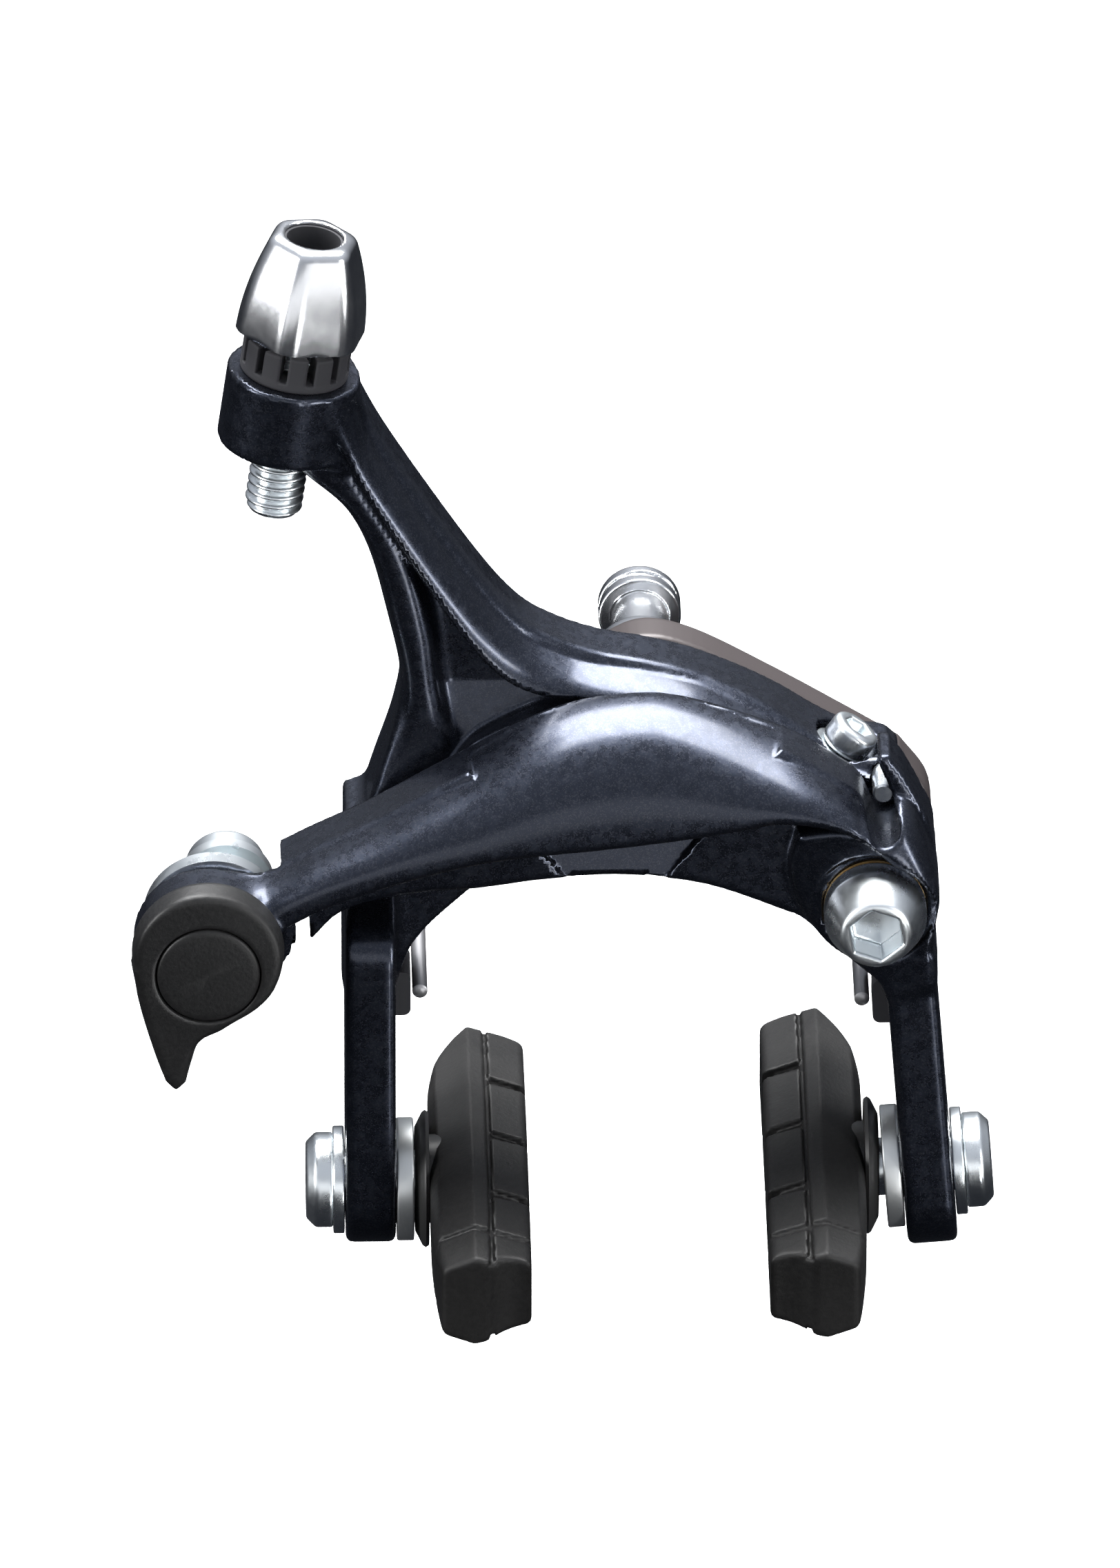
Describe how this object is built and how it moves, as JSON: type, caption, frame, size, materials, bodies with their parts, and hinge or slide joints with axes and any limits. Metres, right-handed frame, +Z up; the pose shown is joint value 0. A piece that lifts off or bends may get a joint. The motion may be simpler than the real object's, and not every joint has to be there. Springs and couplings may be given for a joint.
{
  "type": "rim brake caliper",
  "caption": "Dual-pivot side-pull rim brake caliper with two arms, barrel adjuster, quick-release lever and sliding brake shoes.",
  "frame": {"origin": "centre bolt axis on the rear mounting face", "axes": "+Z up, +X to the right seen from the front, +Y rearward along the mounting bolt, front of the caliper towards -Y"},
  "size_m": [0.0896, 0.0616, 0.1139],
  "materials": {
    "arm_paint": "satin metallic",
    "bracket_paint": "satin",
    "chrome": "polished",
    "zinc_steel": "satin plated",
    "light_washer": "satin",
    "black_plastic": "matte",
    "lever_black": "satin",
    "rubber": "matte",
    "bronze": "satin",
    "spring_steel": "satin",
    "black_oxide": "satin"
  },
  "bodies": {
    "mount": {"centre_bolt": "zinc_steel", "sleeve_nut": "chrome", "brake_washer": "chrome", "support_bracket": "bracket_paint", "centre_sleeve": "zinc_steel", "centre_locknut": "zinc_steel", "side_sleeve": "zinc_steel", "side_pivot_bolt": "zinc_steel", "spring_bow": "spring_steel", "spring_cover": "black_plastic"},
    "upper_arm": {"y_arm": "arm_paint", "y_arm_bush": "bronze", "coupling_pin": "zinc_steel", "spring_left_leg": "spring_steel", "spring_left_block": "black_plastic", "adjuster_collar": "black_plastic", "centring_ring": "zinc_steel"},
    "knob": {"adjuster_knob": "chrome", "housing_seat": "black_plastic"},
    "threaded_barrel": {"adjuster_bolt": "zinc_steel"},
    "screw": {"centring_screw": "zinc_steel"},
    "front_arm": {"c_arm": "arm_paint", "c_arm_bush": "bronze", "spring_right_block": "black_plastic"},
    "right_spring": {"spring_right_leg": "spring_steel"},
    "release_lever": {"qr_lever": "lever_black", "lever_cap": "lever_black", "cam_shaft": "zinc_steel", "cable_clamp_plate": "zinc_steel", "anchor_bolt": "zinc_steel"},
    "left_carrier": {"left_shoe_bolt": "zinc_steel", "left_outer_washer": "zinc_steel", "left_spacer": "light_washer"},
    "left_shoe": {"left_seat_washer": "black_oxide", "left_shoe_core": "black_oxide", "left_brake_block": "rubber"},
    "right_carrier": {"right_shoe_bolt": "zinc_steel", "right_outer_washer": "zinc_steel", "right_spacer": "light_washer"},
    "right_shoe": {"right_seat_washer": "black_oxide", "right_shoe_core": "black_oxide", "right_brake_block": "rubber"}
  },
  "joints": [
    {"name": "upper_arm_pivot", "type": "hinge", "parent": "mount", "child": "upper_arm", "pos_m": [0, -0.015, 0], "axis": [0, -1, 0], "range_deg": [0, 7], "stiffness_Nm_per_rad": 0.6, "springref_deg": -20.05},
    {"name": "front_arm_pivot", "type": "hinge", "parent": "mount", "child": "front_arm", "pos_m": [0.0234, -0.02, -0.0134], "axis": [0, -1, 0], "range_deg": [-9.71, 0]},
    {"name": "right_spring_swing", "type": "hinge", "parent": "mount", "child": "right_spring", "pos_m": [0, -0.0035, 0], "axis": [0, -1, 0], "range_deg": [-5.65, 0]},
    {"name": "knob_turn", "type": "hinge", "parent": "upper_arm", "child": "knob", "pos_m": [-0.03503, -0.01525, 0.04988], "axis": [0.1392, 0, 0.9903], "range_deg": [-720, 720]},
    {"name": "barrel_travel", "type": "slide", "parent": "upper_arm", "child": "threaded_barrel", "axis": [0.1392, 0, 0.9903], "range_m": [-0.0021, 0.0021]},
    {"name": "screw_turn", "type": "hinge", "parent": "upper_arm", "child": "screw", "pos_m": [0.0199, -0.01525, -0.003], "axis": [0.5736, 0, 0.8192], "range_deg": [0, 360]},
    {"name": "release", "type": "hinge", "parent": "front_arm", "child": "release_lever", "pos_m": [-0.0454, -0.03, -0.017], "axis": [0, 1, 0], "range_deg": [0, 90]},
    {"name": "left_shoe_height", "type": "slide", "parent": "upper_arm", "child": "left_carrier", "axis": [0, 0, 1], "range_m": [0, 0.01]},
    {"name": "left_shoe_tip", "type": "hinge", "parent": "left_carrier", "child": "left_shoe", "pos_m": [-0.026, -0.023, -0.0484], "axis": [1, 0, 0], "range_deg": [-8, 8]},
    {"name": "right_shoe_height", "type": "slide", "parent": "front_arm", "child": "right_carrier", "axis": [-0.0767, 0, 0.9971], "range_m": [-0.002, 0.008]},
    {"name": "right_shoe_tip", "type": "hinge", "parent": "right_carrier", "child": "right_shoe", "pos_m": [0.0265, -0.023, -0.0473], "axis": [1, 0, 0], "range_deg": [-8, 8]}
  ],
  "couplings": [
    {"joint": "front_arm_pivot", "follows": "upper_arm_pivot", "ratio": -1.38},
    {"joint": "right_spring_swing", "follows": "upper_arm_pivot", "ratio": -0.8},
    {"joint": "barrel_travel", "follows": "knob_turn", "m_per_rad": -0.00015915}
  ]
}
